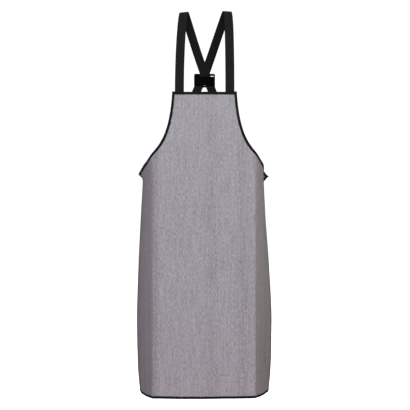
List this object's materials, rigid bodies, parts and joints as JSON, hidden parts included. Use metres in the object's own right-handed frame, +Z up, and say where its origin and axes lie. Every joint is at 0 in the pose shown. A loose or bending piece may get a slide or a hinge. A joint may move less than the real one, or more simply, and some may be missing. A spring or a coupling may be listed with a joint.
{
  "type": "welding apron",
  "caption": "Bib apron of grey heat-resistant cloth with black bound edges and cross-back webbing straps through a crossover slider to side release buckles.",
  "frame": {"origin": "where the two shoulder straps lie on the wearer's shoulders, midway between the shoulders", "axes": "+Z up, -Y towards the apron's front face, +X towards the right of someone facing the apron"},
  "size_m": [0.461, 0.2618, 1.2865],
  "materials": {
    "heat_resistant_cloth": "grey marl woven cloth, matte",
    "binding_tape": "black folded tape, matte",
    "webbing": "black ribbed webbing",
    "elastic": "black woven elastic",
    "thread": "sewing thread, grey on the cloth and black on the tape",
    "label": "blank white satin ribbon",
    "slider_plastic": "black moulded plastic",
    "buckle_plastic": "black moulded plastic"
  },
  "bodies": {
    "root": {"apron_panel": "heat_resistant_cloth", "bib_top_binding": "binding_tape", "care_label": "label", "hem_binding": "binding_tape", "left_armhole_binding": "binding_tape", "left_buckle_socket": "buckle_plastic", "left_shoulder_strap": "webbing", "left_side_binding": "binding_tape", "left_strap_anchor_stitching": "thread", "left_waist_tab": "webbing", "left_waist_tab_stitching": "thread", "right_armhole_binding": "binding_tape", "right_buckle_socket": "buckle_plastic", "right_shoulder_strap": "webbing", "right_side_binding": "binding_tape", "right_strap_anchor_stitching": "thread", "right_waist_tab": "webbing", "right_waist_tab_stitching": "thread"},
    "slider": {"crossover_slider": "slider_plastic"},
    "left_plug": {"left_buckle_plug": "buckle_plastic"},
    "left_upper_prong": {"left_upper_prong": "buckle_plastic"},
    "left_lower_prong": {"left_lower_prong": "buckle_plastic"},
    "left_keeper": {"left_strap_keeper": "elastic"},
    "right_plug": {"right_buckle_plug": "buckle_plastic"},
    "right_upper_prong": {"right_upper_prong": "buckle_plastic"},
    "right_lower_prong": {"right_lower_prong": "buckle_plastic"},
    "right_keeper": {"right_strap_keeper": "elastic"}
  },
  "joints": [
    {"name": "crossover_slide", "type": "slide", "parent": "root", "child": "slider", "axis": [0, 0, 1], "range_m": [-0.03, 0.03], "deforming": ["left_shoulder_strap", "right_shoulder_strap"]},
    {"name": "left_buckle_release", "type": "slide", "parent": "root", "child": "left_plug", "axis": [0.6019, 0.3611, 0.7122], "range_m": [0, 0.028], "deforming": ["right_shoulder_strap", "left_upper_prong", "left_lower_prong"]},
    {"name": "left_upper_prong_squeeze", "type": "hinge", "parent": "left_plug", "child": "left_upper_prong", "pos_m": [-0.16708, 0.07773, -0.51286], "axis": [-0.7984, 0.2919, 0.5267], "range_deg": [0, 12], "stiffness_Nm_per_rad": 0.7},
    {"name": "left_lower_prong_squeeze", "type": "hinge", "parent": "left_plug", "child": "left_lower_prong", "pos_m": [-0.16745, 0.05913, -0.50312], "axis": [0.7984, -0.2919, -0.5267], "range_deg": [0, 12], "stiffness_Nm_per_rad": 0.7},
    {"name": "left_keeper_slide", "type": "slide", "parent": "left_plug", "child": "left_keeper", "axis": [0.6019, 0.3611, 0.7122], "range_m": [-0.018, 0.017]},
    {"name": "right_buckle_release", "type": "slide", "parent": "root", "child": "right_plug", "axis": [-0.6019, 0.3611, 0.7122], "range_m": [0, 0.028], "deforming": ["left_shoulder_strap", "right_upper_prong", "right_lower_prong"]},
    {"name": "right_upper_prong_squeeze", "type": "hinge", "parent": "right_plug", "child": "right_upper_prong", "pos_m": [0.1552, 0.06195, -0.50229], "axis": [0.7852, 0.43, 0.4456], "range_deg": [0, 12], "stiffness_Nm_per_rad": 0.7},
    {"name": "right_lower_prong_squeeze", "type": "hinge", "parent": "right_plug", "child": "right_lower_prong", "pos_m": [0.15215, 0.07933, -0.51368], "axis": [-0.7852, -0.43, -0.4456], "range_deg": [0, 12], "stiffness_Nm_per_rad": 0.7},
    {"name": "right_keeper_slide", "type": "slide", "parent": "right_plug", "child": "right_keeper", "axis": [-0.6019, 0.3611, 0.7122], "range_m": [-0.018, 0.017]}
  ],
  "couplings": [
    {"joint": "left_lower_prong_squeeze", "follows": "left_upper_prong_squeeze", "ratio": 1},
    {"joint": "right_lower_prong_squeeze", "follows": "right_upper_prong_squeeze", "ratio": 1}
  ]
}
